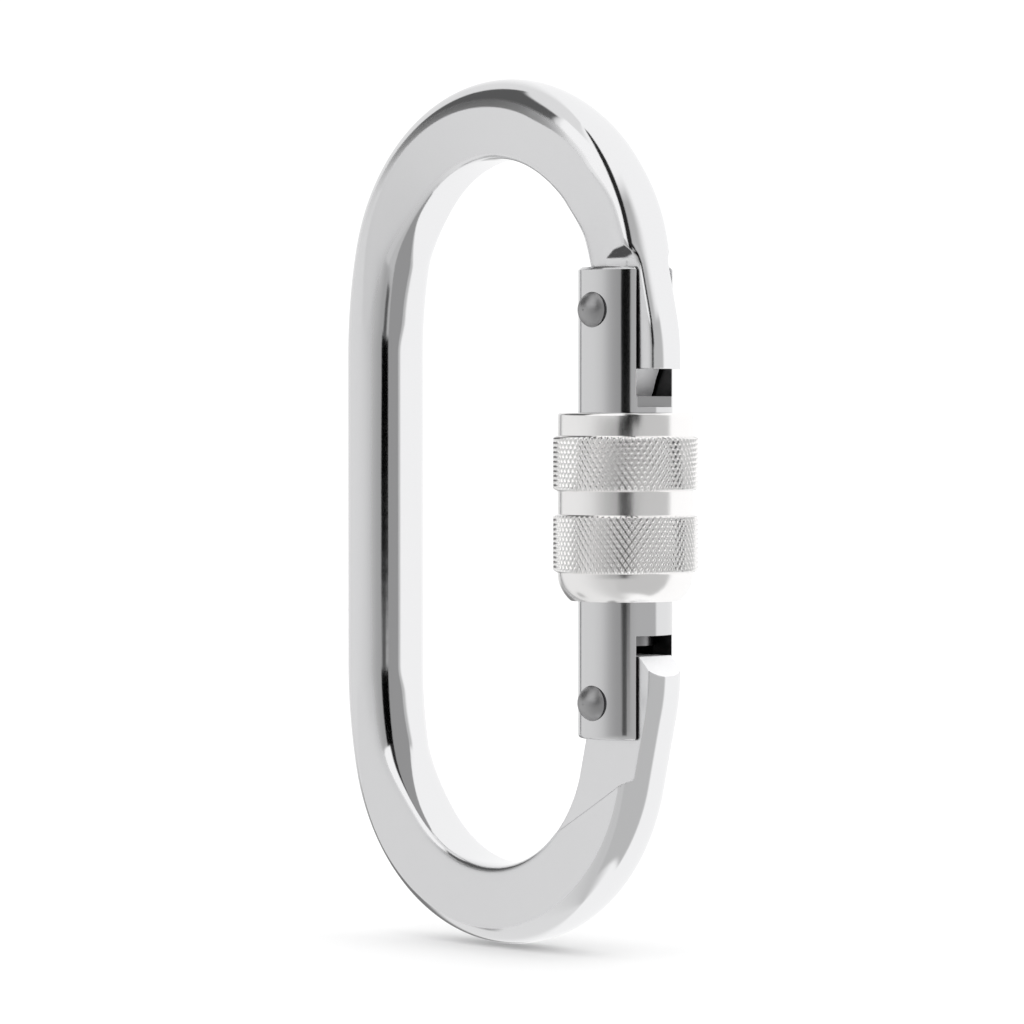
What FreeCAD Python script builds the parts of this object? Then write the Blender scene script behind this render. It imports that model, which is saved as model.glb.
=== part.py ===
"""Oval steel carabiner with a screw-lock gate, in millimetres.

Origin: centre of the oval. +X points to the gate, +Z along the long axis to the
latch end, and -Y is the front. The gate is closed and its sleeve is screwed down.
"""
import FreeCAD, Part
import math
import os
import re

import Sketcher
from FreeCAD import Placement, Rotation, Vector

doc = FreeCAD.newDocument("carabiner")

# ---------------------------------------------------------------- driving dimensions
DIMENSIONS = {
    # oval bar
    "body_height": 108.0,
    "bar_dia": 9.64,
    "spine_x": 22.5,
    "spine_half": 19.8,
    "shoulder_rad": 56.0,
    "tang_x": 23.75,
    "tang_bend_rad": 20.0,
    "tang_lean_deg": 13.5,
    # flats pressed into the two crowns: tilt towards the inside, distance from the bar's axis
    "latch_press_deg": 17.4,
    "latch_press_deep": 4.17,
    "hinge_press_deg": 5.3,
    "hinge_press_deep": 3.8,
    # blades milled at both ends of the bar
    "blade_half": 2.75,
    "latch_mill_z": 31.1,
    "hinge_mill_z": 33.1,
    "hinge_mill_x": 23.0,
    "hinge_mill_deg": 29.4,
    "nose_z": 17.7,
    "tip_z": 15.0,
    "tip_x": 24.3,
    "tip_lean_deg": 24.0,
    "latch_inner_x": 17.6,
    "latch_inner_z": 30.2,
    "notch_high": 3.55,
    "notch_low_gap": 0.4,
    "hinge_top_z": 17.0,
    "hinge_corner_x": 26.2,
    "seat_drop": 4.0,
    "seat_edge_x": 20.3,
    "hinge_inner_x": 18.3,
    "heel_inner_x": 15.9,
    "heel_top_z": 26.8,
    "heel_low_z": 35.5,
    # gate tube
    "gate_x": 21.1,
    "gate_dia": 11.5,
    "gate_top": 30.05,
    "gate_bottom": 27.1,
    "gate_edge": 0.45,
    "gate_bore": 7.0,
    "gate_bore_top": 4.0,
    "slot_half": 3.05,
    "slot_floor": 4.75,
    "latch_slot_z": 14.4,
    "latch_flat_z": 13.1,
    "latch_flat_x": 4.95,
    "hinge_slot_z": 14.5,
    "hinge_slot_floor": 3.3,
    "heel_slot_z": 19.5,
    # rivets
    "latch_pin_z": 24.85,
    "hinge_pin_z": 22.7,
    "pin_dia": 3.0,
    "pin_seat_gap": 0.02,
    "pin_run_gap": 0.08,
    "rivet_head_dia": 4.3,
    "rivet_head_high": 1.5,
    # screw sleeve
    "sleeve_bottom": 10.4,
    "sleeve_top": 12.4,
    "sleeve_dia": 16.5,
    "sleeve_edge": 0.35,
    "sleeve_mouth_dia": 13.4,
    "sleeve_round_rad": 4.6,
    "knurl_dia": 17.6,
    "knurl_edge": 0.25,
    "upper_knurl_top": 9.65,
    "upper_knurl_low": 2.9,
    "lower_knurl_top": 0.1,
    "lower_knurl_low": 7.0,
    "nose_bore": 15.3,
    "nose_bore_deep": 4.4,
    "sleeve_run_gap": 0.06,
    # friction ring inside the sleeve
    "ring_z": 3.6,
    "ring_high": 1.2,
    "ring_dia": 13.2,
    "ring_gap": 0.05,
    # plunger and return spring
    "plunger_dia": 6.84,
    "plunger_end_z": 15.8,
    "plunger_high": 3.0,
    "stem_dia": 3.2,
    "stem_high": 6.0,
    "foot_inner": 3.25,
    "foot_outer": 1.2,
    "foot_half": 2.2,
    "spring_wire": 0.7,
    "spring_dia": 5.3,
    "spring_turns": 9.0,
    "touch_gap": 0.02,
}


def make_sheet():
    sheet = doc.addObject("Spreadsheet::Sheet", "Dims")
    for row, (name, value) in enumerate(DIMENSIONS.items(), start=1):
        sheet.set(f"A{row}", name)
        sheet.set(f"B{row}", str(value))
        sheet.setAlias(f"B{row}", name)
    doc.recompute()
    return sheet


sheet = make_sheet()


# ---------------------------------------------------------------- expressions
def link(text):
    """Turn the dimension names in an expression into references to the sheet."""
    return re.sub(r"[a-z_]+", lambda m: "Dims." * (m.group() in DIMENSIONS) + m.group(), str(text))


def value(text):
    """The number that an expression stands for."""
    result = sheet.evalExpression(link(text))
    return float(getattr(result, "Value", result))


def bind(thing, **links):
    """Tie properties to expressions. Two underscores in a name stand for a dot."""
    for name, text in links.items():
        thing.setExpression(name.replace("__", "."), link(text))


# ---------------------------------------------------------------- small builders
def new_sketch(body, name, role):
    sketch = body.newObject("Sketcher::SketchObject", name)
    plane = next(f for f in body.Origin.OriginFeatures if f.Role == role)
    sketch.AttachmentSupport = [(plane, "")]
    sketch.MapMode = "FlatFace"
    return sketch


def dimension(sketch, name, text, kind, *rule):
    """Add a driving constraint whose size is an expression."""
    index = sketch.addConstraint(Sketcher.Constraint(kind, *rule, value(text)))
    sketch.renameConstraint(index, name)
    sketch.setExpression(f"Constraints.{name}", link(text))


def bulged(start, end, radius):
    """An arc between two points, bulging to the right of the way from start to end."""
    chord = end - start
    middle = (start + end) / 2
    side = Vector(chord.y, -chord.x, 0).normalize()
    sagitta = radius - math.sqrt(radius**2 - chord.Length**2 / 4)
    return Part.Arc(start, middle + side * sagitta, end)


def turned(name, corners):
    """A body turned about its own Z axis from (radius, height[, arc radius]) corners."""
    body = doc.addObject("PartDesign::Body", name)
    sketch = new_sketch(body, name + "_outline", "XZ_Plane")
    points = [Vector(value(c[0]), value(c[1]), 0) for c in corners]
    count = len(points)
    for i, corner in enumerate(corners):
        start, end = points[i], points[(i + 1) % count]
        if len(corner) == 3:
            sketch.addGeometry(bulged(start, end, value(corner[2])), False)
        else:
            sketch.addGeometry(Part.LineSegment(start, end), False)
    # an arc is stored counter-clockwise, so its start and end may have changed places
    first = [1 if sketch.getPoint(i, 1).distanceToPoint(points[i]) < 1e-6 else 2 for i in range(count)]
    for i in range(count):
        after = (i + 1) % count
        sketch.addConstraint(Sketcher.Constraint("Coincident", i, 3 - first[i], after, first[after]))
    for i, corner in enumerate(corners):
        for axis, text in zip("XY", corner):
            if value(text) == 0:
                through = -2 if axis == "X" else -1
                sketch.addConstraint(Sketcher.Constraint("PointOnObject", i, first[i], through))
            else:
                dimension(sketch, f"corner{i}{axis}", text, "Distance" + axis, -1, 1, i, first[i])
        if len(corner) == 3:
            dimension(sketch, f"round{i}", corner[2], "Radius", i)
    turn = body.newObject("PartDesign::Revolution", name + "_turn")
    turn.Profile = sketch
    turn.ReferenceAxis = (sketch, ["V_Axis"])
    turn.Angle = 360
    return body


def box(name, x, y, z):
    """A block between two expressions along each axis."""
    block = doc.addObject("Part::Box", name)
    for side, axis, (low, high) in zip(("Length", "Width", "Height"), "xyz", (x, y, z)):
        bind(block, **{side: f"({high}) - ({low})", f"Placement__Base__{axis}": low})
    return block


def leaning_box(name, corner, lean_deg, size):
    """A block that starts at corner (x, y, z) and is turned about -Y by lean_deg."""
    block = doc.addObject("Part::Box", name)
    block.Placement = Placement(Vector(), Rotation(Vector(0, -1, 0), 1))
    bind(block, Length=size[0], Width=size[1], Height=size[2])
    bind(block, Placement__Rotation__Angle=f"({lean_deg}) * 1 deg")
    for axis, text in zip("xyz", corner):
        bind(block, **{f"Placement__Base__{axis}": text})
    return block


def cross_pin(name, x, z, radius, half_length):
    """A cylinder along Y, centred on the middle plane."""
    rod = doc.addObject("Part::Cylinder", name)
    rod.Placement = Placement(Vector(), Rotation(Vector(1, 0, 0), -90))
    bind(rod, Radius=radius, Height=f"2 * ({half_length})")
    bind(rod, Placement__Base__x=x, Placement__Base__y=f"-({half_length})", Placement__Base__z=z)
    return rod


def fuse(name, shapes):
    joined = doc.addObject("Part::MultiFuse", name)
    joined.Shapes = shapes
    return joined


def cut(name, base, tools):
    result = doc.addObject("Part::Cut", name)
    result.Base = base
    result.Tool = fuse(name + "_tools", tools) if len(tools) > 1 else tools[0]
    return result


# a block two bar diameters wide, for cuts that go right across the bar
WIDE_BLOCK = ("bar_dia", "2 * bar_dia", "bar_dia")


# ---------------------------------------------------------------- oval bar
def oval_points():
    """The turning points and arc centres of one end of the bar's centreline."""
    side, straight, big = value("spine_x"), value("spine_half"), value("shoulder_rad")
    top = value("body_height / 2 - bar_dia / 2")
    across, along = big - side, top - straight - big
    small = big + (across**2 + along**2) / (2 * along)
    crown = Vector(0, top - small, 0)
    shoulder = Vector(big - side, straight, 0)
    split = math.atan2(crown.y - shoulder.y, shoulder.x)
    lean, bend = math.radians(value("tang_lean_deg")), value("tang_bend_rad")
    leave = crown + Vector(math.cos(lean), math.sin(lean), 0) * small
    bend_x = value("tang_x") - bend * (1 - math.cos(lean))
    bend_start = leave + Vector(math.sin(lean), -math.cos(lean), 0) * (bend_x - leave.x) / math.sin(lean)
    bend_centre = bend_start - Vector(math.cos(lean), math.sin(lean), 0) * bend
    meet = crown + Vector(-math.cos(split), math.sin(split), 0) * small
    return small, crown, shoulder, split, lean, leave, bend_start, bend_centre, meet


def arc(centre, radius, low, high):
    return Part.ArcOfCircle(Part.Circle(centre, Vector(0, 0, 1), radius), low, high)


def oval_path(body):
    """The centreline: nose, latch crown, spine, hinge crown and hinge end."""
    small, crown, shoulder, split, lean, leave, bend_start, bend_centre, meet = oval_points()
    side, straight, big = value("spine_x"), value("spine_half"), value("shoulder_rad")
    bend, tang, turn = value("tang_bend_rad"), value("tang_x"), 2 * math.pi

    def down(point):
        return Vector(point.x, -point.y, 0)

    nose, hinge_end = Vector(tang, value("tip_z"), 0), Vector(tang, -value("hinge_top_z"), 0)
    bend_end = Vector(tang, bend_centre.y, 0)
    spine_top = Vector(-side, straight, 0)
    sketch = new_sketch(body, "oval_path", "XZ_Plane")
    pieces = [
        Part.LineSegment(nose, bend_end),
        arc(bend_centre, bend, 0, lean),
        Part.LineSegment(bend_start, leave),
        arc(crown, small, lean, math.pi - split),
        arc(shoulder, big, math.pi - split, math.pi),
        Part.LineSegment(spine_top, down(spine_top)),
        arc(down(shoulder), big, math.pi, math.pi + split),
        arc(down(crown), small, math.pi + split, turn - lean),
        Part.LineSegment(down(leave), down(bend_start)),
        arc(down(bend_centre), bend, turn - lean, turn),
        Part.LineSegment(down(bend_end), hinge_end),
    ]
    sketch.addGeometry(pieces, False)
    for i in range(len(pieces) - 1):
        sketch.addConstraint(Sketcher.Constraint("Tangent", i, 2, i + 1, 1))
    for i in (0, 5, 10):
        sketch.addConstraint(Sketcher.Constraint("Vertical", i))
    for i in (3, 7):
        sketch.addConstraint(Sketcher.Constraint("PointOnObject", i, 3, -2))
    for i in (1, 9):
        dimension(sketch, f"bend{i}", "tang_bend_rad", "Radius", i)
    for i in (4, 6):
        dimension(sketch, f"shoulder{i}", "shoulder_rad", "Radius", i)
    dimension(sketch, "nose_x", "tang_x", "DistanceX", -1, 1, 0, 1)
    dimension(sketch, "end_x", "tang_x", "DistanceX", -1, 1, 10, 2)
    dimension(sketch, "nose_z", "tip_z", "DistanceY", -1, 1, 0, 1)
    dimension(sketch, "end_z", "-hinge_top_z", "DistanceY", -1, 1, 10, 2)
    dimension(sketch, "spine_x", "-spine_x", "DistanceX", -1, 1, 5, 1)
    dimension(sketch, "spine_top", "spine_half", "DistanceY", -1, 1, 5, 1)
    dimension(sketch, "spine_low", "-spine_half", "DistanceY", -1, 1, 5, 2)
    return sketch


def round_bar():
    """The bent round bar before its flats, blades and pivots are worked."""
    body = doc.addObject("PartDesign::Body", "bar")
    path = oval_path(body)
    section = new_sketch(body, "bar_section", "XY_Plane")
    bind(section, AttachmentOffset__Base__z="tip_z")
    centre = Vector(value("tang_x"), 0, 0)
    section.addGeometry(Part.Circle(centre, Vector(0, 0, 1), value("bar_dia / 2")), False)
    section.addConstraint(Sketcher.Constraint("PointOnObject", 0, 3, -1))
    dimension(section, "centre", "tang_x", "DistanceX", -1, 1, 0, 3)
    dimension(section, "dia", "bar_dia", "Diameter", 0)
    doc.recompute()
    pipe = body.newObject("PartDesign::AdditivePipe", "bent_bar")
    pipe.Profile = section
    pipe.Spine = path
    doc.recompute()
    return body


def press_cone(name, end, front):
    """A shallow cone about the crown's centre that presses a tilted flat on one face."""
    small, crown = oval_points()[:2]
    tilt, deep = math.radians(value(end + "_press_deg")), value(end + "_press_deep")
    apex = (deep - small * math.sin(tilt)) / math.cos(tilt)
    cone = doc.addObject("Part::Cone", name)
    height = 2 * value("bar_dia")
    cone.Radius1 = 0
    cone.Radius2 = height / math.tan(tilt)
    cone.Height = height
    up = 1 if end == "latch" else -1
    turn = Rotation(Vector(1, 0, 0), -90 * front)
    cone.Placement = Placement(Vector(0, front * apex, up * crown.y), turn)
    return cone


def sides(name, x, z):
    """Two blocks that mill the front and back of a blade."""
    deep = "bar_dia"
    front = box(name + "_front", x, (f"-{deep}", "-blade_half"), z)
    back = box(name + "_back", x, ("blade_half", deep), z)
    return [front, back]


def slanted_sides(name, corner, lean_deg, size):
    """The same, with the lower end of the milling slanted."""
    x, z = corner
    block = (size[0], "bar_dia", size[1])
    front = leaning_box(name + "_front", (x, "-blade_half - bar_dia", z), lean_deg, block)
    back = leaning_box(name + "_back", (x, "blade_half", z), lean_deg, block)
    return [front, back]


def latch_tools():
    """The blade, nose, tip and pin notch at the latch end."""
    beyond = "tang_x + bar_dia"
    notch_z = "latch_pin_z - pin_dia / 2 - notch_low_gap + notch_high / 2"
    tools = sides("latch_mill", ("latch_inner_x - bar_dia", beyond), ("0", "latch_mill_z"))
    across = ("-bar_dia", "bar_dia")
    tools.append(box("latch_inner", ("0", "latch_inner_x"), across, ("0", "latch_inner_z")))
    tools.append(box("nose_end", ("tip_x", beyond), across, ("0", "nose_z")))
    tip = ("tip_x", "-bar_dia", "nose_z")
    tools.append(leaning_box("tip_face", tip, "-90 - tip_lean_deg", WIDE_BLOCK))
    tools.append(box("notch", ("0", "gate_x + pin_run_gap"), across,
                     (f"{notch_z} - notch_high / 2", f"{notch_z} + notch_high / 2")))
    tools.append(cross_pin("notch_end", "gate_x + pin_run_gap", notch_z, "notch_high / 2", "bar_dia"))
    return tools


def hinge_tools():
    """The blade, pivot hole, spring seat and rounded end at the hinge end."""
    beyond = "tang_x + bar_dia"
    across = ("-bar_dia", "bar_dia")
    tools = sides("hinge_mill", ("0", beyond), ("-hinge_mill_z + bar_dia / 2", "0"))
    start_x = "hinge_mill_x - 2 * bar_dia * cos(hinge_mill_deg)"
    start_z = "-hinge_mill_z - 2 * bar_dia * sin(hinge_mill_deg)"
    tools += slanted_sides("hinge_slant", (start_x, start_z), "hinge_mill_deg", ("4 * bar_dia", "bar_dia"))
    tools.append(box("seat", ("0", "seat_edge_x"), across, ("-hinge_pin_z + seat_drop", "0")))
    tools.append(box("hinge_inner", ("0", "hinge_inner_x"), across, ("-heel_top_z", "0")))
    corner = ("hinge_corner_x", "-bar_dia", "-hinge_top_z")
    tools.append(leaning_box("hinge_corner", corner, "-45", WIDE_BLOCK))
    tools.append(cross_pin("hinge_hole", "gate_x", "-hinge_pin_z", "pin_dia / 2 + pin_run_gap", "bar_dia"))
    return tools


def make_frame():
    heel_z = ("-heel_low_z", "-hinge_pin_z")
    heel = box("heel", ("heel_inner_x", "tang_x"), ("-blade_half", "blade_half"), heel_z)
    blank = fuse("frame_blank", [round_bar(), heel])
    cones = [press_cone(f"press_{end}_{face}", end, front)
             for end in ("latch", "hinge") for face, front in (("back", 1), ("front", -1))]
    return cut("frame", blank, cones + latch_tools() + hinge_tools())


# ---------------------------------------------------------------- gate and rivets
def make_gate():
    radius, edge, bore = "gate_dia / 2", "gate_edge", "gate_bore / 2"
    body = turned("gate_tube", [
        (f"{bore}", "-gate_bottom"),
        (f"{radius} - {edge}", "-gate_bottom"),
        (radius, f"-gate_bottom + {edge}"),
        (radius, f"gate_top - {edge}"),
        (f"{radius} - {edge}", "gate_top"),
        ("0", "gate_top"),
        ("0", "gate_bore_top"),
        (bore, "gate_bore_top"),
    ])
    bind(body, Placement__Base__x="gate_x")
    slot = ("-slot_half", "slot_half")
    outside = "gate_x + gate_dia"
    below = "-gate_bottom - 1"
    tools = [
        box("latch_slot", ("gate_x - slot_floor", outside), slot, ("latch_slot_z", "gate_top + 1")),
        box("latch_flat", ("gate_x + latch_flat_x", outside), slot, ("latch_flat_z", "latch_slot_z + 1")),
        box("hinge_slot", ("gate_x - hinge_slot_floor", outside), slot, (below, "-hinge_slot_z")),
        box("heel_slot", ("0", "gate_x"), slot, (below, "-heel_slot_z")),
        cross_pin("latch_pin_hole", "gate_x", "latch_pin_z", "pin_dia / 2 + pin_seat_gap", "gate_dia"),
        cross_pin("hinge_pin_hole", "gate_x", "-hinge_pin_z", "pin_dia / 2 + pin_seat_gap", "gate_dia"),
    ]
    return cut("gate", body, tools)


def make_rivet(name, z):
    """A pin across the gate with a domed head closed on each side."""
    ball = "(rivet_head_dia ^ 2 / 4 + rivet_head_high ^ 2) / (2 * rivet_head_high)"
    shank = cross_pin(name + "_shank", "gate_x", z, "pin_dia / 2", "gate_dia / 2 + rivet_head_high / 2")
    heads = []
    for face, side in (("back", 1), ("front", -1)):
        head = doc.addObject("Part::Sphere", f"{name}_{face}_head")
        head.Placement = Placement(Vector(), Rotation(Vector(1, 0, 0), -90 * side))
        bind(head, Radius=ball, Angle1=f"asin(1 - rivet_head_high / ({ball}))")
        reach = f"{side} * (gate_dia / 2 + touch_gap + rivet_head_high - ({ball}))"
        bind(head, Placement__Base__x="gate_x", Placement__Base__y=reach, Placement__Base__z=z)
        heads.append(head)
    return fuse(name, [shank] + heads)


# ---------------------------------------------------------------- locking sleeve
def make_sleeve():
    outer, knurl, edge, chamfer = "sleeve_dia / 2", "knurl_dia / 2", "sleeve_edge", "knurl_edge"
    run, nose = "gate_dia / 2 + sleeve_run_gap", "nose_bore / 2"
    groove = "ring_dia / 2 + ring_gap"
    corners = [
        (run, "-sleeve_bottom"),
        ("sleeve_mouth_dia / 2", "-sleeve_bottom", "sleeve_round_rad"),
        (outer, f"-lower_knurl_low - {chamfer}"),
        (knurl, "-lower_knurl_low"),
        (knurl, "lower_knurl_top"),
        (outer, f"lower_knurl_top + {chamfer}"),
        (outer, f"upper_knurl_low - {chamfer}"),
        (knurl, "upper_knurl_low"),
        (knurl, "upper_knurl_top"),
        (outer, f"upper_knurl_top + {chamfer}"),
        (outer, f"sleeve_top - {edge}"),
        (f"{outer} - {edge}", "sleeve_top"),
        (nose, "sleeve_top"),
        (nose, "sleeve_top - nose_bore_deep"),
        (run, "sleeve_top - nose_bore_deep"),
        (run, "ring_z + ring_high + ring_gap"),
        (groove, "ring_z + ring_high + ring_gap"),
        (groove, "ring_z - ring_gap"),
        (run, "ring_z - ring_gap"),
    ]
    body = turned("sleeve", corners)
    bind(body, Placement__Base__x="gate_x")
    return body


def make_ring():
    inner, outer = "gate_dia / 2 + sleeve_run_gap / 2", "ring_dia / 2"
    body = turned("friction_ring", [
        (inner, "ring_z"),
        (outer, "ring_z"),
        (outer, "ring_z + ring_high"),
        (inner, "ring_z + ring_high"),
    ])
    bind(body, Placement__Base__x="gate_x")
    return body


# ---------------------------------------------------------------- gate return
def make_plunger():
    """A stepped push rod with a foot that sits on the inner corner of the hinge blade."""
    outer, stem, low = "plunger_dia / 2", "stem_dia / 2", "-plunger_end_z"
    shoulder, top = f"{low} + plunger_high", f"{low} + plunger_high + stem_high"
    body = turned("plunger_rod", [
        ("0", low), (outer, low), (outer, shoulder), (stem, shoulder), (stem, top), ("0", top),
    ])
    bind(body, Placement__Base__x="gate_x")
    seat = "-hinge_pin_z + seat_drop + touch_gap"
    foot = box("plunger_foot", ("gate_x - foot_inner", "gate_x - foot_outer"), ("-foot_half", "foot_half"),
               (seat, f"{low} + plunger_high / 2"))
    skin = doc.addObject("Part::Cylinder", "foot_limit")
    bind(skin, Radius=outer, Height="hinge_pin_z")
    bind(skin, Placement__Base__x="gate_x", Placement__Base__z="-hinge_pin_z")
    trimmed = doc.addObject("Part::Common", "foot_round")
    trimmed.Base = foot
    trimmed.Tool = skin
    return fuse("plunger", [body, trimmed])


def make_spring():
    """A wire coil between the plunger's shoulder and the end of the gate's bore.

    It is made of tilted half turns that meet end to end on the coil's XZ plane.
    """
    low = "(-plunger_end_z + plunger_high + spring_wire / 2 + touch_gap)"
    high = "(gate_bore_top - spring_wire / 2 - touch_gap)"
    count = 2 * int(DIMENSIONS["spring_turns"])
    rise = f"({high} - {low}) / {count}"
    tilt = math.degrees(math.atan2(value(f"{rise} / 2"), value("spring_dia / 2")))
    halves = []
    for index in range(count):
        back = index % 2
        half = doc.addObject("Part::Torus", f"spring_half_{index}")
        turn = Rotation(Vector(0, 1, 0), -tilt if back else tilt)
        half.Placement = Placement(Vector(), turn * Rotation(Vector(0, 0, 1), 180 * back))
        half.Angle3 = 180
        bind(half, Radius1=f"sqrt((spring_dia / 2)^2 + ({rise} / 2)^2)", Radius2="spring_wire / 2")
        bind(half, Placement__Base__x="gate_x", Placement__Base__z=f"{low} + {rise} * {index + 0.5}")
        halves.append(half)
    return fuse("spring", halves)


# ---------------------------------------------------------------- build, check, write
def check_document():
    doc.recompute()
    broken = [o.Label for o in doc.Objects if {"Invalid", "Error"} & set(o.State)]
    if broken:
        raise RuntimeError(f"failed objects: {broken}")


def write(nodes):
    os.makedirs("parts", exist_ok=True)
    for name, thing in nodes.items():
        thing.Label = name
        shape = thing.Shape
        if shape.isNull() or not shape.isValid() or not shape.Solids:
            raise RuntimeError(f"{name} has no valid solid")
        print(name, len(shape.Solids), "solid", round(shape.Volume, 2), "mm3")
        shape.exportStep(f"parts/{name}.step")


nodes = {
    "frame": make_frame(),
    "gate": make_gate(),
    "hinge_rivet": make_rivet("hinge_rivet", "-hinge_pin_z"),
    "latch_rivet": make_rivet("latch_rivet", "latch_pin_z"),
    "locking_sleeve": make_sleeve(),
    "friction_ring": make_ring(),
    "plunger": make_plunger(),
    "return_spring": make_spring(),
}
check_document()
write(nodes)
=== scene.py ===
"""Looks of the screw-lock carabiner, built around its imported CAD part. Metres.

Front is -Y, the gate is on +X and the long axis is Z.
"""
import math

import bpy
import numpy as np
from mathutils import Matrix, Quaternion, Vector


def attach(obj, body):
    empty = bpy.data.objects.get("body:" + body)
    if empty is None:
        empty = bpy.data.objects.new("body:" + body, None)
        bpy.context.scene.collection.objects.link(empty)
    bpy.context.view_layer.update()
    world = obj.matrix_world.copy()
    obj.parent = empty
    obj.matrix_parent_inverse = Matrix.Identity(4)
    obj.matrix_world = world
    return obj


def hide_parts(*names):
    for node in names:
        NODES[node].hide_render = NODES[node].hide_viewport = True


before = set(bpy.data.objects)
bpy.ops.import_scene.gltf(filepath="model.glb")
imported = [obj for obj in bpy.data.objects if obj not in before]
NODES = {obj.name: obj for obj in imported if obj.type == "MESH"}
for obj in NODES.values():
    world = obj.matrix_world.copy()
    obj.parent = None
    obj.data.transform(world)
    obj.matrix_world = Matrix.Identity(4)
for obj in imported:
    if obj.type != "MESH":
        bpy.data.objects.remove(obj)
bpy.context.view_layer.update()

MM = 0.001
SMOOTH_ANGLE = math.radians(30)


# ---------------------------------------------------------------- node helpers
class Graph:
    """Shorthand for a shader node tree."""

    def __init__(self, tree):
        self.tree = tree
        tree.nodes.clear()

    def add(self, kind, settings=(), **inputs):
        """A node of one kind. Inputs are numbers, colours or other nodes' outputs."""
        node = self.tree.nodes.new(kind)
        for name, setting in dict(settings).items():
            setattr(node, name, setting)
        for name, given in inputs.items():
            key = int(name[1:]) if name[0] == "i" and name[1:].isdigit() else name.replace("_", " ")
            self.plug(given, node.inputs[key])
        return node

    def plug(self, given, socket):
        """Link a node's output into a socket, or set the socket to a value."""
        if isinstance(given, bpy.types.NodeSocket):
            self.tree.links.new(given, socket)
        else:
            socket.default_value = given

    def math(self, operation, a, b=0.0, clamp=False):
        """The result of one sum on numbers or outputs."""
        settings = {"operation": operation, "use_clamp": clamp}
        return self.add("ShaderNodeMath", settings, i0=a, i1=b).outputs[0]

    def ramp(self, x, low, high):
        """0 below low and 1 above high, smoothly in between."""
        settings = {"interpolation_type": "SMOOTHSTEP"}
        return self.add("ShaderNodeMapRange", settings, Value=x, From_Min=low, From_Max=high).outputs[0]

    def window(self, x, start, end, soft):
        """1 between start and end, fading out over soft on both sides."""
        rise = self.ramp(x, start - soft, start + soft)
        fall = self.ramp(x, end - soft, end + soft)
        return self.math("SUBTRACT", rise, fall, True)

    def mix(self, factor, a, b):
        """Blend two grey values."""
        node = self.tree.nodes.new("ShaderNodeMix")
        node.data_type = "FLOAT"
        self.plug(factor, node.inputs[0])
        self.plug(a, node.inputs[2])
        self.plug(b, node.inputs[3])
        return node.outputs[0]


# ---------------------------------------------------------------- materials
FACING_Y = 0.86, 0.92
RELIEF = 0.02 * MM


def roughness(g, noise, rough, spread, flat_rough):
    """Roughness varied by the noise. Faces that look along Y can have their own value."""
    varied = g.math("MULTIPLY", g.math("SUBTRACT", noise, 0.5), spread)
    if flat_rough:
        normal = g.add("ShaderNodeNewGeometry").outputs["Normal"]
        along_y = g.math("ABSOLUTE", g.add("ShaderNodeSeparateXYZ", Vector=normal).outputs["Y"])
        rough = g.mix(g.ramp(along_y, *FACING_Y), rough, flat_rough)
    return g.math("ADD", varied, rough, True)


def metal(name, grey, rough, grain, spread=0.0, bump=0.0, edge=0.0, tint=(1, 1, 1.01),
          flat_rough=None, whiten=0.0):
    """A metal of one grey. Grain scales a noise that varies its roughness and height.

    Edge is the radius to which corners look rounded, and whiten is the share of chalky white.
    """
    material = bpy.data.materials.new(name)
    material.use_nodes = True
    g = Graph(material.node_tree)
    place = g.add("ShaderNodeTexCoord").outputs["Object"]
    stretch = g.add("ShaderNodeMapping", Vector=place, Scale=grain).outputs[0]
    noise = g.add("ShaderNodeTexNoise", Vector=stretch, Scale=1.0, Detail=4.0).outputs["Fac"]
    shader = g.add("ShaderNodeBsdfPrincipled", Metallic=1.0 - whiten)
    shader.inputs["Base Color"].default_value = (grey * tint[0], grey * tint[1], grey * tint[2], 1)
    g.plug(roughness(g, noise, rough, spread, flat_rough), shader.inputs["Roughness"])
    if edge:
        rounded = g.add("ShaderNodeBevel", {"samples": 4}, Radius=edge).outputs[0]
        g.plug(rounded, shader.inputs["Normal"])
    if bump:
        relief = g.add("ShaderNodeBump", Strength=bump, Distance=RELIEF, Height=noise)
        if edge:
            g.plug(rounded, relief.inputs["Normal"])
        g.plug(relief.outputs[0], shader.inputs["Normal"])
    out = g.add("ShaderNodeOutputMaterial")
    g.tree.links.new(shader.outputs[0], out.inputs["Surface"])
    return material


def plastic(name, colour, rough):
    """A plain coloured material."""
    material = bpy.data.materials.new(name)
    material.use_nodes = True
    shader = material.node_tree.nodes["Principled BSDF"]
    shader.inputs["Base Color"].default_value = (*colour, 1)
    shader.inputs["Roughness"].default_value = rough
    return material


FRAME_STEEL = metal("polished_steel", grey=0.84, rough=0.07, grain=(700, 700, 700), spread=0.06,
                    bump=0.10, edge=0.25 * MM, flat_rough=0.3)
GATE_STEEL = metal("satin_steel", grey=0.72, rough=0.11, grain=(2500, 2500, 120), spread=0.06,
                   bump=0.12, edge=0.08 * MM)
SLEEVE_STEEL = metal("sleeve_steel", grey=0.98, rough=0.2, grain=(1500, 1500, 600), spread=0.12,
                     bump=0.35, tint=(1, 0.99, 0.985))
RIVET_STEEL = metal("rivet_steel", grey=0.42, rough=0.42, grain=(1500, 1500, 1500), spread=0.08,
                    bump=0.08, edge=0.05 * MM)
INNER_STEEL = metal("inner_steel", grey=0.30, rough=0.32, grain=(300, 300, 6000), spread=0.2, bump=0.5)
# Near-black steel on the gate's slot and bore walls: painted shade, since these hollows are dark from shade
# and not from the metal.
SLOT_PAINTED_SHADE = metal("slot_painted_shade", grey=0.08, rough=0.4, grain=(2000, 2000, 2000), spread=0.1)
# Rough near-white steel on cut faces: partly the rough cut finish, partly a painted highlight for the light
# these faces catch.
CUT_FACE_HIGHLIGHT = metal("cut_face_painted_highlight", grey=0.95, rough=0.55, grain=(2500, 2500, 2500), spread=0.2,
                  bump=0.8, whiten=0.6)
RING_NYLON = plastic("ring_nylon", (0.05, 0.05, 0.055), 0.5)


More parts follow.
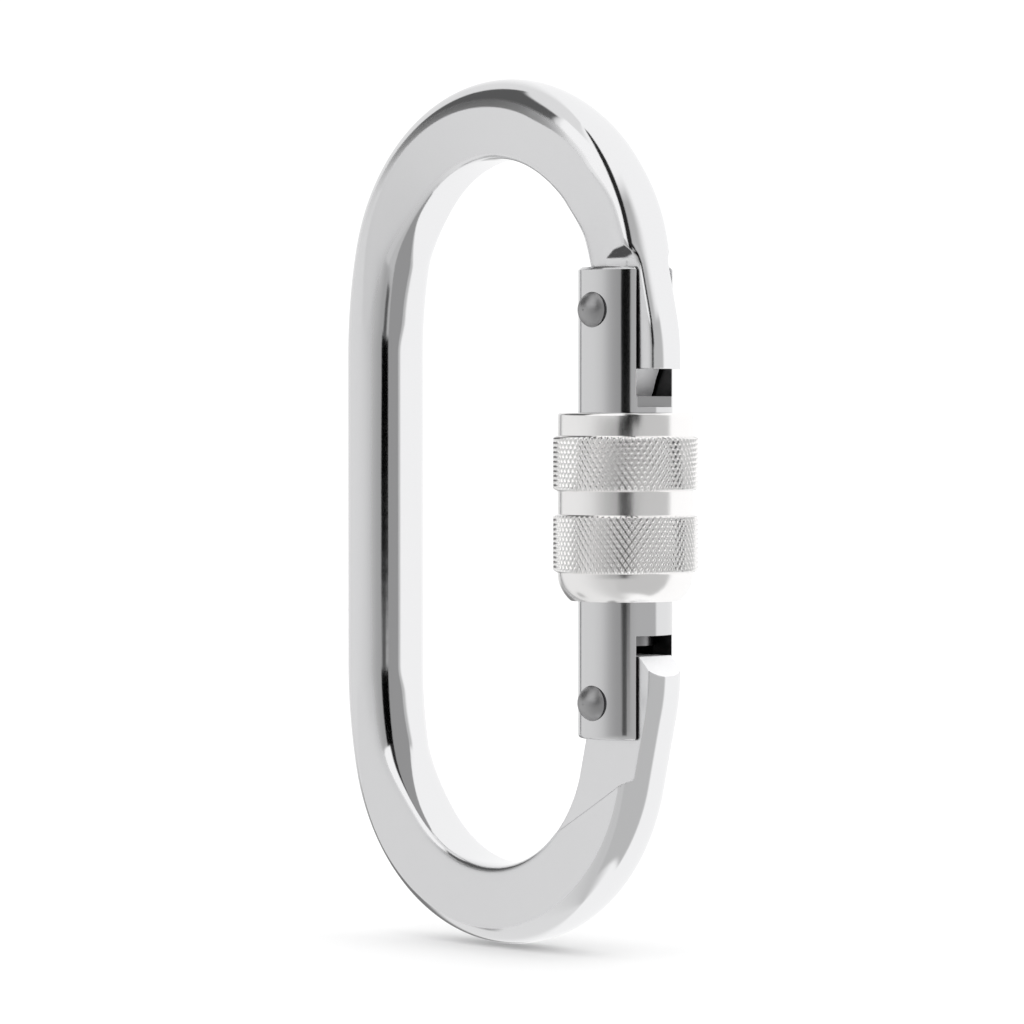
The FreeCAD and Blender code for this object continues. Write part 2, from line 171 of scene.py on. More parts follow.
# ---------------------------------------------------------------- mesh helpers
def as_object(name, points, faces, material, body, slot, *nodes):
    """A mesh object from millimetre points that stands for CAD nodes and rides on their body."""
    mesh = bpy.data.meshes.new(name)
    mesh.from_pydata([tuple(p) for p in np.asarray(points, float) * MM], [], faces)
    mesh.validate()
    mesh.shade_smooth()
    mesh.set_sharp_from_angle(angle=SMOOTH_ANGLE)
    mesh.materials.append(material)
    thing = bpy.data.objects.new(name, mesh)
    bpy.context.scene.collection.objects.link(thing)
    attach(thing, body)
    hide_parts(*nodes)
    return thing


def grid_faces(rows, columns, row_loop=False):
    """Quads between neighbouring rows of a grid whose columns close on themselves."""
    faces = []
    for i in range(rows if row_loop else rows - 1):
        below, above = i * columns, ((i + 1) % rows) * columns
        for j in range(columns):
            k = (j + 1) % columns
            faces.append((below + j, below + k, above + k, above + j))
    return faces


# ---------------------------------------------------------------- screw sleeve
GATE_X = 21.1
SLEEVE_BOTTOM, SLEEVE_TOP = -10.4, 12.4
SLEEVE_RADIUS, KNURL_RADIUS = 8.25, 8.8
TOP_RADIUS, TOP_EDGE = 7.65, 0.35
BASE_Z, BASE_RADIUS, BASE_ROUND = -7.35, 6.7, 4.6
MOUTH_RADIUS, SLEEVE_BORE, CUP_BORE, CUP_DEPTH = 6.4, 5.81, 7.65, 4.4
KNURL_DEPTH, KNURL_EDGE, GROOVE_SHARE = 0.28, 0.3, 0.62
KNURL_BANDS = ((-7.0, 0.1), (2.9, 9.65))
DIAMONDS_AROUND = 68
DIAMOND_HIGH = 1.14
STEPS = 8


def groove(position):
    """Depth share of one set of crossing grooves, a V with a flat between."""
    off = np.abs(position - np.round(position)) * 2
    return np.clip((GROOVE_SHARE - off) / GROOVE_SHARE, 0, 1)


def knurl_radius(angle, z, low, high):
    """Radius of a knurled band, with the grooves running out over its bevelled edges."""
    turn = angle / (2 * math.pi) * DIAMONDS_AROUND
    climb = (z - low) / DIAMOND_HIGH
    deep = np.maximum(groove(turn + climb), groove(turn - climb))
    bevel = SLEEVE_RADIUS + np.minimum(z - low, high - z) / KNURL_EDGE * (KNURL_RADIUS - SLEEVE_RADIUS)
    return np.maximum(SLEEVE_RADIUS, np.minimum(KNURL_RADIUS - KNURL_DEPTH * deep, bevel))


def base_rounding():
    """Rows of the arc on which the lower end rounds in towards the mouth."""
    start, end = np.array((SLEEVE_RADIUS, BASE_Z)), np.array((BASE_RADIUS, SLEEVE_BOTTOM))
    chord = end - start
    half = np.hypot(*chord) / 2
    inward = np.array((chord[1], -chord[0])) / (2 * half)
    centre = (start + end) / 2 + inward * math.sqrt(BASE_ROUND**2 - half**2)
    first = math.atan2(start[1] - centre[1], start[0] - centre[0])
    last = math.atan2(end[1] - centre[1], end[0] - centre[0])
    return [(centre[1] + BASE_ROUND * math.sin(t), centre[0] + BASE_ROUND * math.cos(t), None)
            for t in np.linspace(first, last, 12)]


def sleeve_rows():
    """(z, base radius, band) down the outside, then up the inside."""
    seam, chamfer, lip = 0.02, 0.1, 0.12
    rows = [(SLEEVE_TOP, TOP_RADIUS, None), (SLEEVE_TOP, SLEEVE_RADIUS - TOP_EDGE, None)]
    for t in np.linspace(0, math.pi / 2, 5)[1:]:
        z = SLEEVE_TOP - TOP_EDGE + TOP_EDGE * math.cos(t)
        rows.append((z, SLEEVE_RADIUS - TOP_EDGE + TOP_EDGE * math.sin(t), None))
    for low, high in reversed(KNURL_BANDS):
        count = int(round((high - low) / DIAMOND_HIGH * STEPS))
        rows.append((high + seam, SLEEVE_RADIUS, None))
        rows += [(z, SLEEVE_RADIUS, (low, high)) for z in np.linspace(high, low, count + 1)]
        rows.append((low - seam, SLEEVE_RADIUS, None))
    rows += base_rounding()
    rows += [
        (SLEEVE_BOTTOM, MOUTH_RADIUS, None),
        (SLEEVE_BOTTOM + 0.25, MOUTH_RADIUS - 0.25, None),
        (SLEEVE_BOTTOM + 0.6, SLEEVE_BORE, None),
    ]
    cup_floor = SLEEVE_TOP - CUP_DEPTH
    rows += [
        (cup_floor, SLEEVE_BORE, None),
        (cup_floor, CUP_BORE - chamfer, None),
        (cup_floor + chamfer, CUP_BORE, None),
        (SLEEVE_TOP - lip, CUP_BORE, None),
    ]
    return rows


def make_sleeve():
    """The screw sleeve as one turned shell with two knurled bands."""
    rows = sleeve_rows()
    columns = DIAMONDS_AROUND * STEPS
    angle = np.arange(columns) / columns * 2 * math.pi
    points = []
    for z, radius, band in rows:
        r = knurl_radius(angle, z, *band) if band else np.full(columns, radius)
        points.append(np.c_[GATE_X + r * np.cos(angle), r * np.sin(angle), np.full(columns, z)])
    faces = grid_faces(len(rows), columns, True)
    return as_object("knurled_sleeve", np.vstack(points), faces, SLEEVE_STEEL,
                     "sleeve_body", "sleeve_steel", "locking_sleeve")


make_sleeve()


# ---------------------------------------------------------------- bent bar
BAR_RADIUS = 4.82
CROWN_Z, CROWN_RADIUS, CROWN_SPLIT = 27.57, 21.61, 13.06
SHOULDER_X, SHOULDER_Z, SHOULDER_RADIUS = 33.5, 19.8, 56.0
SPINE_X = SHOULDER_X - SHOULDER_RADIUS
TANG_X, TANG_RADIUS, TANG_LEAN = 23.75, 20.0, 13.5
BEND_Z = 18.83
NOSE_END_Z, HINGE_END_Z = 13.0, 14.0
BLADE, MILL_Z, RUN_OUT_Z = 2.75, 31.1, 36
SECTION_OUTER, SECTION_INNER = 48, 88

# the pressed section round each end: clock angle of the bar's centre, distance of the flat from the
# bar's axis, tilt of the flat, inward spread, half thickness and fullness of the outer side
LATCH_PRESS = (
    (20, 2.95, 17.5, 0.75, 4.70, 2.3),
    (44, 2.95, 17.5, 0.75, 4.60, 2.7),
    (54, 2.85, 17.5, 0.75, 4.70, 2.7),
    (60, 3.00, 17.5, 0.75, 4.70, 2.8),
    (68, 3.60, 17.5, 0.70, 4.80, 2.4),
    (80, 4.10, 17.4, 0.60, 4.82, 2.1),
    (92, 4.17, 17.4, 0.60, 4.82, 2.0),
    (106, 4.20, 17.0, 0.55, 4.82, 2.0),
    (132, 4.78, 15.0, -0.20, 4.82, 2.0),
    (138, 5.00, 15.0, -0.42, 4.82, 2.0),
    (180, 5.60, 10.0, -0.42, 4.82, 2.0),
)
HINGE_PRESS = (
    (20, 3.50, 5.3, 0.60, 4.3, 2.4),
    (60, 3.60, 5.3, 0.60, 4.4, 2.3),
    (75, 3.78, 5.3, 0.50, 4.7, 2.1),
    (90, 3.80, 5.3, 0.50, 4.82, 2.0),
    (110, 3.90, 5.3, 0.45, 4.82, 2.0),
    (133, 4.76, 5.3, -0.20, 4.82, 2.0),
    (138, 5.00, 5.3, -0.42, 4.82, 2.0),
    (180, 5.60, 10.0, -0.42, 4.82, 2.0),
)


def arc_stations(x, z, radius, start, end, step=0.6):
    """Points and outward directions along an arc, leaving out its last point."""
    count = max(2, int(abs(math.radians(end - start)) * radius / step))
    t = np.radians(np.linspace(start, end, count, endpoint=False))
    return np.c_[x + radius * np.cos(t), z + radius * np.sin(t), np.cos(t), np.sin(t)]


def line_stations(start, end, normal_deg, step=0.8):
    """Points and outward directions along a straight stretch, leaving out its last point."""
    count = max(2, int(math.dist(start, end) / step))
    points = np.linspace(start, end, count, endpoint=False)
    t = math.radians(normal_deg)
    return np.c_[points, np.full(count, math.cos(t)), np.full(count, math.sin(t))]


def half_path(end_z):
    """The bar's centreline from one end, over its crown, to the middle of the spine."""
    lean = math.radians(TANG_LEAN)
    bend_x = TANG_X - TANG_RADIUS
    leave = (CROWN_RADIUS * math.cos(lean), CROWN_Z + CROWN_RADIUS * math.sin(lean))
    bend_end = (bend_x + TANG_RADIUS * math.cos(lean), BEND_Z + TANG_RADIUS * math.sin(lean))
    return np.vstack((
        line_stations((TANG_X, end_z), (TANG_X, BEND_Z), 0),
        arc_stations(bend_x, BEND_Z, TANG_RADIUS, 0, TANG_LEAN),
        line_stations(bend_end, leave, TANG_LEAN),
        arc_stations(0, CROWN_Z, CROWN_RADIUS, TANG_LEAN, 180 - CROWN_SPLIT),
        arc_stations(SHOULDER_X, SHOULDER_Z, SHOULDER_RADIUS, 180 - CROWN_SPLIT, 180),
        line_stations((SPINE_X, SHOULDER_Z), (SPINE_X, 0), 180, 2.0),
    ))


def soft_min(a, b, sharpness):
    """The smaller of two lengths, rounded off where they cross."""
    sharpness = np.asarray(sharpness, float)
    return (a ** -sharpness + b ** -sharpness) ** (-1 / sharpness)


def outer_radius(angle, thick, full):
    """Radius of the outer side, a superellipse that is an ellipse at full 2 and squarer above it."""
    across = np.abs(np.cos(angle) / BAR_RADIUS) ** full
    along = np.abs(np.sin(angle) / thick) ** full
    return (across + along) ** (-1 / full)


def inner_radius(folded, spread):
    """Radius of the inner side, squarer the further the press has spread it inward."""
    most_spread, corner, fade = 0.6, 0.28, 0.5
    pressed = min(max(spread / most_spread, 0), 1)
    wall = (BAR_RADIUS + spread) / np.maximum(1e-6, -np.cos(folded))
    radius = soft_min(wall, BAR_RADIUS * (1 + corner * pressed), 40 - 31 * pressed)
    return BAR_RADIUS + (radius - BAR_RADIUS) * np.clip(-np.cos(folded) / fade, 0, 1)


def flat_edge(flat, lean, thick, full):
    """Angle where the flat meets the outer side, found by repeated trial."""
    trials, almost_touching = 12, 0.985
    side = BAR_RADIUS
    for _ in range(trials):
        edge = lean - math.acos(min(almost_touching, flat / side))
        side = outer_radius(np.array([edge]), thick, full)[0]
    return edge


def press_flat(radius, folded, edge, flat, lean, full):
    """Press the flat into a section. Its outer edge is crisp, and blunt where the outer side is full."""
    grazing, beyond, fade = 0.05, 99.0, 0.5
    crisp_round, blunt_round, blunt_from = 24, 12, 2.3
    slope = np.cos(folded - lean)
    cut = np.where(slope > grazing, flat / np.maximum(slope, grazing), beyond)
    away = np.clip((folded - edge) / fade, 0, 1)
    rounded = soft_min(radius, cut, crisp_round)
    crisp = np.where(folded >= edge - 1e-9, np.minimum(radius, cut) * (1 - away) + rounded * away, radius)
    blunt = min(max((full - blunt_from) / fade, 0), 1)
    return crisp * (1 - blunt) + soft_min(radius, cut, blunt_round) * blunt


def section(flat, tilt, spread, thick, full):
    """Polar section of the bar: angles from outward round through -Y, and radii."""
    lean = math.radians(90 + tilt)
    edge = flat_edge(flat, lean, thick, full)
    front = np.linspace(0, edge, SECTION_OUTER // 2, endpoint=False)
    inner = np.linspace(edge, math.pi, SECTION_INNER // 2, endpoint=False)
    angle = np.concatenate((front, inner, [math.pi], 2 * math.pi - inner[::-1], 2 * math.pi - front[:0:-1]))
    folded = np.minimum(angle, 2 * math.pi - angle)
    outer = outer_radius(folded, thick, full)
    radius = np.where(folded > math.pi / 2, inner_radius(folded, spread), outer)
    return angle, press_flat(radius, folded, edge, flat, lean, full)


def round_blade(points, height):
    """Narrow the nose to its blade with rounded outer edges, fading out where the milling stops."""
    if height > RUN_OUT_Z:
        return points
    allowance, blend_below, blend_most = 0.03, 1.2, 0.1
    soft, crisp, sharpening = 5, 24, 30
    past_mill = points[:, 2] - MILL_Z
    above = np.clip(past_mill, 0, 20)
    cap = BLADE + allowance + above + np.clip((past_mill + blend_below) * blend_most, 0, blend_most)
    away = np.maximum(np.abs(points[:, 1]), 1e-6)
    narrow = soft_min(away, cap, soft + np.clip(above * sharpening, 0, crisp - soft))
    share = np.clip(points[:, 0] - TANG_X + 1, 0, 1)
    points[:, 1] = np.sign(points[:, 1]) * (away + (narrow - away) * share)
    return points


def ease(x, table, column):
    """Smooth interpolation in one column of a press table."""
    keys = [row[0] for row in table]
    i = min(max(int(np.searchsorted(keys, x)) - 1, 0), len(keys) - 2)
    t = min(max((x - keys[i]) / (keys[i + 1] - keys[i]), 0), 1)
    t = t * t * (3 - 2 * t)
    return table[i][column] + (table[i + 1][column] - table[i][column]) * t


def bar_mesh():
    """Points and faces of the whole bar, swept from the nose round to the hinge end."""
    latch = half_path(NOSE_END_Z)
    hinge = half_path(HINGE_END_Z)[::-1] * (1, -1, 1, -1)
    spine_middle = np.array([[SPINE_X, 0, -1, 0]])
    points = []
    for path, table in ((latch, LATCH_PRESS), (spine_middle, LATCH_PRESS), (hinge, HINGE_PRESS)):
        for x, z, nx, nz in path:
            clock = math.degrees(math.atan2(abs(z), x))
            angle, radius = section(*(ease(clock, table, c) for c in range(1, 6)))
            out = radius * np.cos(angle)
            ring = np.c_[x + out * nx, -radius * np.sin(angle), z + out * nz]
            points.append(round_blade(ring, z) if z > 0 and x > 0 else ring)
    columns = len(points[0])
    faces = [face[::-1] for face in grid_faces(len(points), columns)]
    last = (len(points) - 1) * columns
    faces.append(tuple(range(columns)))
    faces.append(tuple(last + j for j in range(columns))[::-1])
    return np.vstack(points), faces


def block(low, high, turn=None, pivot=(0, 0, 0)):
    """A cutting block between two corners, optionally turned about a pivot as (axis, degrees)."""
    xs, ys, zs = zip(low, high)
    corners = [Vector((x, y, z)) for z in zs for y in ys for x in xs]
    if turn:
        spin = Quaternion(turn[0], math.radians(turn[1]))
        corners = [spin @ (c - Vector(pivot)) + Vector(pivot) for c in corners]
    faces = [(0, 2, 3, 1), (4, 5, 7, 6), (0, 1, 5, 4), (2, 6, 7, 3), (0, 4, 6, 2), (1, 3, 7, 5)]
    return corners, faces


def rod(x, z, radius, half, count=48):
    """A cutting cylinder along Y."""
    t = np.arange(count) / count * 2 * math.pi
    ring = np.c_[x + radius * np.cos(t), np.zeros(count), z + radius * np.sin(t)]
    points = np.vstack((ring - (0, half, 0), ring + (0, half, 0)))
    faces = grid_faces(2, count)
    faces += [tuple(range(count))[::-1], tuple(range(count, 2 * count))]
    return points, faces


def carve(thing, cutters):
    """Cut closed shapes out of an object for good."""
    for index, (points, faces) in enumerate(cutters):
        mesh = bpy.data.meshes.new(f"cutter{index}")
        mesh.from_pydata([tuple(c * MM for c in p) for p in points], [], faces)
        tool = bpy.data.objects.new(f"cutter{index}", mesh)
        bpy.context.scene.collection.objects.link(tool)
        change = thing.modifiers.new("cut", "BOOLEAN")
        change.object = tool
        change.operation = "DIFFERENCE"
        change.solver = "EXACT"
        bpy.context.view_layer.update()
        shown = thing.evaluated_get(bpy.context.evaluated_depsgraph_get())
        cut = bpy.data.meshes.new_from_object(shown)
        thing.modifiers.clear()
        thing.data = cut
        bpy.data.objects.remove(tool)
    thing.data.shade_smooth()
    thing.data.set_sharp_from_angle(angle=SMOOTH_ANGLE)


# cutting blocks reach past the bar: WIDE to each side, FAR outwards
WIDE, FAR = 10, 40
MILL_X, MILL_REACH, MILL_SLANT = 8, 20, 33
NOSE_BACK_X, NOSE_BACK_Z = 17.6, 30.2
TIP_X, TIP_Z, TIP_SLANT = 24.3, 17.7, 114
NOTCH_X, NOTCH_Z, NOTCH_HALF = 21.18, 24.725, 1.775
HINGE_PIN_Z, HINGE_HOLE = -22.7, 1.58
HINGE_MILL_X, HINGE_MILL_Z, HINGE_MILL_SLANT = 23.0, -33.1, 29.4
HINGE_MILL_LONG, HINGE_MILL_HIGH = 45, 34
SEAT_X, SEAT_Z, HEEL_X, HEEL_Z = 20.3, HINGE_PIN_Z + 4, 18.3, -26.8
HINGE_TOP_Z, HINGE_CORNER_X = -17, 26.2


def latch_cutters():
    """Blade, slanted run-out, nose, tip and pin notch at the latch end."""
    cutters = []
    for side in (-1, 1):
        low, high = sorted((side * BLADE, side * MILL_REACH))
        cutters.append(block((MILL_X, low, 0), (FAR, high, MILL_Z)))
        run_out = ((1, 0, 0), side * -MILL_SLANT)
        top = (FAR, high, FAR + WIDE)
        cutters.append(block((MILL_X, low, MILL_Z), top, run_out, (0, side * BLADE, MILL_Z)))
    cutters.append(block((0, -WIDE, 0), (NOSE_BACK_X, WIDE, NOSE_BACK_Z)))
    cutters.append(block((TIP_X, -WIDE, 0), (FAR, WIDE, TIP_Z)))
    slant = ((0, -1, 0), -TIP_SLANT)
    cutters.append(block((TIP_X, -WIDE, TIP_Z), (FAR, WIDE, FAR), slant, (TIP_X, 0, TIP_Z)))
    cutters.append(block((0, -WIDE, NOTCH_Z - NOTCH_HALF), (NOTCH_X, WIDE, NOTCH_Z + NOTCH_HALF)))
    cutters.append(rod(NOTCH_X, NOTCH_Z, NOTCH_HALF, WIDE))
    return cutters


def hinge_cutters():
    """Blade with a slanted end, spring seat, bevelled corner and pivot hole at the hinge end."""
    run = math.radians(HINGE_MILL_SLANT)
    x = HINGE_MILL_X - MILL_REACH * math.cos(run)
    z = HINGE_MILL_Z - MILL_REACH * math.sin(run)
    cutters = []
    for side in (-1, 1):
        low, high = sorted((side * BLADE, side * MILL_REACH))
        slant = ((0, -1, 0), HINGE_MILL_SLANT)
        top = (x + HINGE_MILL_LONG, high, z + HINGE_MILL_HIGH)
        cutters.append(block((x, low, z), top, slant, (x, 0, z)))
    cutters.append(block((0, -WIDE, SEAT_Z), (SEAT_X, WIDE, 0)))
    cutters.append(block((0, -WIDE, HEEL_Z), (HEEL_X, WIDE, 0)))
    cutters.append(block((0, -WIDE, HINGE_TOP_Z), (FAR, WIDE, 0)))
    x, z = HINGE_CORNER_X, HINGE_TOP_Z
    bevel = ((0, -1, 0), -45)
    cutters.append(block((x, -WIDE, z), (x + 20, WIDE, z + 20), bevel, (x, 0, z)))
    cutters.append(rod(GATE_X, HINGE_PIN_Z, HINGE_HOLE, WIDE))
    return cutters


def gets_painted_highlight(face):
    """Whether a face is the nose's upright tip or the top end of the hinge blade, the faces with the
    painted highlight.
    """
    x, _, z = face.center / MM
    tip = 22 < x < TIP_X + 0.3 and 14 < z < TIP_Z - 0.01 and face.normal.x > 0.5
    blade_end = x > 20.2 and -21.5 < z < HINGE_TOP_Z + 0.1 and face.normal.z > 0.5
    return tip or blade_end


def make_frame():
    """The bent bar, swept, cut at both ends and given its polished finish, with a painted highlight on its
    nose tip and hinge blade end.
    """
    points, faces = bar_mesh()
    bar = as_object("bent_bar", points, faces, FRAME_STEEL, "frame_body", "polished_steel", "frame")
    carve(bar, latch_cutters() + hinge_cutters())
    # The nose tip and the hinge blade's top end get the painted highlight.
    bar.data.materials.append(CUT_FACE_HIGHLIGHT)
    for face in bar.data.polygons:
        if gets_painted_highlight(face):
            face.material_index = 1


make_frame()


# ---------------------------------------------------------------- gate tube
GATE_RADIUS, GATE_TOP, GATE_BOTTOM, GATE_EDGE = 5.75, 30.05, -27.1, 0.4
GATE_COLUMNS = 160
BORE_RADIUS, BORE_TOP = 3.5, 4
THREAD_LOW, THREAD_HIGH, THREAD_PITCH, THREAD_DEPTH = -8.6, 9.4, 2.0, 0.5
SLOT_HALF = 3.05
LATCH_SLOT_X, LATCH_SLOT_Z, SLOT_LIP_Z = GATE_X - 4.75, 14.4, 26.5
LEDGE_X, LEDGE_Z = GATE_X + 4.95, 13.1
HINGE_SLOT_X, HINGE_SLOT_Z, HINGE_SLOT_BACK_Z = GATE_X - 3.3, -14.5, -19.5


def thread_depth(angle, z):
    """Depth of a single-start thread that fades out at both ends."""
    steepness, crest, run_out = 1.8, 0.4, 1.2
    phase = (z / THREAD_PITCH - angle / (2 * math.pi)) % 1
    tooth = np.clip(np.abs(phase - 0.5) * 2 * steepness - crest, 0, 1)
    fade = np.clip(min(z - THREAD_LOW, THREAD_HIGH - z) / run_out, 0, 1)
    return THREAD_DEPTH * tooth * fade


def gate_rows():
    """(z, radius) from the bottom edge up the outside to the top."""
    plain_step, thread_step = 0.9, 0.2
    rows = [(GATE_BOTTOM, BORE_RADIUS)]
    for t in np.linspace(0, math.pi / 2, 5):
        z = GATE_BOTTOM + GATE_EDGE * (1 - math.cos(t))
        rows.append((z, GATE_RADIUS - GATE_EDGE * (1 - math.sin(t))))
    rows += [(z, GATE_RADIUS) for z in np.arange(-26, -8.9, plain_step)]
    rows += [(z, GATE_RADIUS) for z in np.arange(THREAD_LOW, THREAD_HIGH + 0.1, thread_step)]
    rows += [(z, GATE_RADIUS) for z in np.arange(10, 29.5, plain_step)]
    rows.append((GATE_TOP - 0.35, GATE_RADIUS))
    rows.append((GATE_TOP - 0.05, GATE_RADIUS - 0.3))
    rows.append((GATE_TOP, GATE_RADIUS - GATE_EDGE))
    return rows


def bore():
    """A cutting cylinder along the gate's lower axis."""
    count = GATE_COLUMNS // 2
    t = np.arange(count) / count * 2 * math.pi
    ring = np.c_[GATE_X + BORE_RADIUS * np.cos(t), BORE_RADIUS * np.sin(t), np.zeros(count)]
    faces = grid_faces(2, count) + [tuple(range(count))[::-1], tuple(range(count, 2 * count))]
    return np.vstack((ring - (0, 0, FAR), ring + (0, 0, BORE_TOP))), faces


def gate_cutters():
    """Bore, latch slot with its wider lip and ledge, and hinge slot."""
    return [
        bore(),
        block((LATCH_SLOT_X, -SLOT_HALF, LATCH_SLOT_Z), (FAR, SLOT_HALF, FAR)),
        block((LATCH_SLOT_X, 0, SLOT_LIP_Z), (FAR, SLOT_HALF + 0.02, FAR)),
        block((LEDGE_X, -SLOT_HALF - 0.05, LEDGE_Z), (FAR, SLOT_HALF + 0.05, LATCH_SLOT_Z + 0.1)),
        block((HINGE_SLOT_X, -SLOT_HALF, -FAR), (FAR, SLOT_HALF, HINGE_SLOT_Z)),
        block((0, -SLOT_HALF, -FAR), (GATE_X, SLOT_HALF, HINGE_SLOT_BACK_Z)),
    ]


def gate_finish_and_painted_light(face):
    """Material index of a face: 0 outside, 1 slot wall with painted shade, 2 ledge, 3 far slot lip with a
    painted highlight.
    """
    x, y, z = face.center / MM
    outside = math.hypot(x - GATE_X, y) > GATE_RADIUS - 0.12
    threaded = THREAD_LOW - 1 < z < THREAD_HIGH + 1
    end = not GATE_BOTTOM + GATE_EDGE < z < GATE_TOP - GATE_EDGE
    if outside or threaded or end:
        return 0
    if z > SLOT_LIP_Z and y > 0:
        return 3
    return 2 if abs(face.normal.x) > 0.9 and x > GATE_X + 4 else 1


def make_gate():
    """The gate tube with its thread, bore and two slots."""
    rows = gate_rows()
    angle = np.arange(GATE_COLUMNS) / GATE_COLUMNS * 2 * math.pi
    points = []
    for z, radius in rows:
        r = radius - thread_depth(angle, z)
        points.append(np.c_[GATE_X + r * np.cos(angle), r * np.sin(angle), np.full(GATE_COLUMNS, z)])
    faces = grid_faces(len(rows), GATE_COLUMNS)
    last = (len(rows) - 1) * GATE_COLUMNS
    faces.append(tuple(range(GATE_COLUMNS))[::-1])
    faces.append(tuple(last + j for j in range(GATE_COLUMNS)))
    gate = as_object("gate_tube", np.vstack(points), faces, GATE_STEEL, "gate_body", "satin_steel", "gate")
    carve(gate, gate_cutters())
    # The slot and bore walls get painted shade, and the far slot lip gets a painted highlight.
    for material in (SLOT_PAINTED_SHADE, INNER_STEEL, CUT_FACE_HIGHLIGHT):
        gate.data.materials.append(material)
    for face in gate.data.polygons:
        face.material_index = gate_finish_and_painted_light(face)


make_gate()


# ---------------------------------------------------------------- carried-over CAD pieces
def dress(node, material):
    """Give a CAD node its material and smooth shading."""
    thing = NODES[node]
    thing.data.materials.clear()
    thing.data.materials.append(material)
    thing.data.shade_smooth()
    thing.data.set_sharp_from_angle(angle=SMOOTH_ANGLE)


for rivet in ("hinge_rivet", "latch_rivet"):
    dress(rivet, RIVET_STEEL)
for inner in ("plunger", "return_spring"):
    dress(inner, INNER_STEEL)
dress("friction_ring", RING_NYLON)


# ---------------------------------------------------------------- studio
CAMERA_AZIMUTH, CAMERA_ELEVATION, CAMERA_DISTANCE = 46.5, 1.3, 0.556
LENS, SENSOR, SHIFT = 156.3, 36, 0.00586
STUDIO_WHITE, FLOOR_LIGHT, EXPOSURE = 0.93, 1.25, 0.15
FLOOR_Z, FLOOR_HALF = -54.2, 4000
CARD_HALF = 34


def direction(azimuth, elevation):
    """Unit vector towards an azimuth counted from the front (-Y) round to +X."""
    a, e = math.radians(azimuth), math.radians(elevation)
    return Vector((math.sin(a) * math.cos(e), -math.cos(a) * math.cos(e), math.sin(e)))


def make_camera():
    """The camera, aimed at the middle of the object."""
    data = bpy.data.cameras.new("camera")
    data.lens = LENS
    data.sensor_width = SENSOR
    data.shift_x = SHIFT
    camera = bpy.data.objects.new("camera", data)
    bpy.context.scene.collection.objects.link(camera)
    away = direction(CAMERA_AZIMUTH, CAMERA_ELEVATION)
    camera.location = away * CAMERA_DISTANCE
    camera.rotation_euler = away.to_track_quat("Z", "Y").to_euler()
    bpy.context.scene.camera = camera


# what the metal sees: (azimuth from, to, softness), (elevation from, to, softness), brightness.
# Azimuths are degrees from the camera's own direction, positive to the right, and elevations are
# degrees above level. Later panels lie over earlier ones.
PANELS = (
    ((-172, -30, 14), (-90, 90, 1), 0.74),
    ((-56, 4, 42), (-90, 14, 4), 0.52),
    ((-178, -140, 6), (-28, -9, 4), 0.20),
    ((-20, 79, 3), (-62, 20, 3), 0.50),
    ((10, 66, 16), (16, 50, 10), 0.46),
    ((-40, 6, 26), (-14, 12, 4), 0.36),
    ((-128, -116, 3), (-47, -36, 3), 0.36),
    ((-138, -76, 2), (15, 60, 2), 0.10),
    ((-72, 2, 2), (14, 66, 2), 0.95),
    ((-4, 24, 2), (6, 84, 2), 0.02),
    ((-12.5, 10, 1), (-2.6, 14, 0.5), 0.001),
    ((-9, 2, 2), (-12, -2.6, 0.5), 0.10),
)


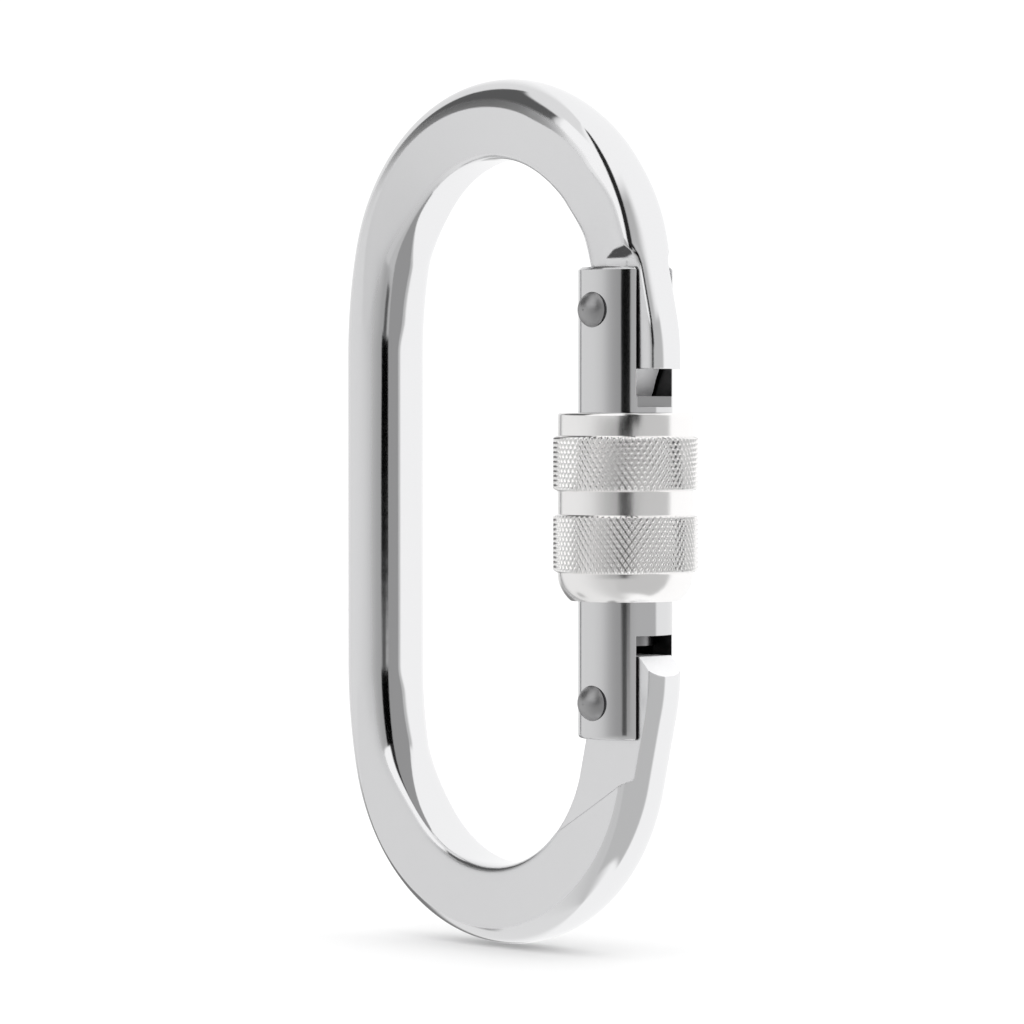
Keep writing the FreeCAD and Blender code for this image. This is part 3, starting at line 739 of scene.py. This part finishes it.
def make_world():
    """A bright studio round the camera, as the metal sees it; plain white behind the object."""
    world = bpy.data.worlds.new("studio")
    bpy.context.scene.world = world
    world.use_nodes = True
    g = Graph(world.node_tree)
    look = g.add("ShaderNodeTexCoord").outputs["Generated"]
    turn = g.add("ShaderNodeVectorRotate", {"rotation_type": "Z_AXIS"},
                 Vector=look, Angle=-math.radians(CAMERA_AZIMUTH)).outputs[0]
    x, y, z = g.add("ShaderNodeSeparateXYZ", Vector=turn).outputs
    azimuth = g.math("DEGREES", g.math("ARCTAN2", x, g.math("MULTIPLY", y, -1)))
    elevation = g.math("DEGREES", g.math("ARCSINE", z))
    tone = STUDIO_WHITE
    for across, up, brightness in PANELS:
        mask = g.math("MULTIPLY", g.window(azimuth, *across), g.window(elevation, *up))
        tone = g.mix(mask, tone, brightness)
    path = g.add("ShaderNodeLightPath")
    shown = g.mix(path.outputs["Is Camera Ray"], tone, 1.0)
    light = g.mix(path.outputs["Is Diffuse Ray"], shown, FLOOR_LIGHT)
    shader = g.add("ShaderNodeBackground", Strength=light)
    shader.inputs["Color"].default_value = (1, 1, 1, 1)
    out = g.add("ShaderNodeOutputWorld")
    g.tree.links.new(shader.outputs[0], out.inputs["Surface"])


def make_floor():
    """A pale paper floor just under the object, which the metal doesn't mirror."""
    half = FLOOR_HALF
    corners = [(-half, -half), (half, -half), (half, half), (-half, half)]
    mesh = bpy.data.meshes.new("floor")
    mesh.from_pydata([(x * MM, y * MM, FLOOR_Z * MM) for x, y in corners], [], [(0, 1, 2, 3)])
    mesh.materials.append(plastic("floor_paper", (0.9, 0.9, 0.9), 0.9))
    floor = bpy.data.objects.new("floor", mesh)
    bpy.context.scene.collection.objects.link(floor)
    floor.visible_glossy = False


def make_card(name, sweep, reach, brightness):
    """A card for the spine to mirror, with one face lit and the other clear, hidden from the camera."""
    points = []
    for azimuth in sweep:
        side = direction(CAMERA_AZIMUTH + azimuth, 0) * reach
        for z in (-CARD_HALF, CARD_HALF):
            points.append(((SPINE_X + side.x) * MM, side.y * MM, z * MM))
    mesh = bpy.data.meshes.new(name)
    mesh.from_pydata(points, [], [(0, 1, 3, 2)])
    material = bpy.data.materials.new(name)
    material.use_nodes = True
    g = Graph(material.node_tree)
    lit = g.add("ShaderNodeEmission", Strength=brightness).outputs[0]
    clear = g.add("ShaderNodeBsdfTransparent").outputs[0]
    behind = g.add("ShaderNodeNewGeometry").outputs["Backfacing"]
    shader = g.add("ShaderNodeMixShader", i0=behind, i1=lit, i2=clear)
    out = g.add("ShaderNodeOutputMaterial")
    g.tree.links.new(shader.outputs[0], out.inputs["Surface"])
    mesh.materials.append(material)
    card = bpy.data.objects.new(name, mesh)
    bpy.context.scene.collection.objects.link(card)
    card.visible_camera = False
    card.visible_diffuse = False
    card.visible_shadow = False
    card.visible_transmission = False


make_camera()
make_world()
make_floor()
make_card("grey_card", (9, 62), 26, 0.30)
view = bpy.context.scene.view_settings
view.view_transform = "Standard"
view.exposure = EXPOSURE
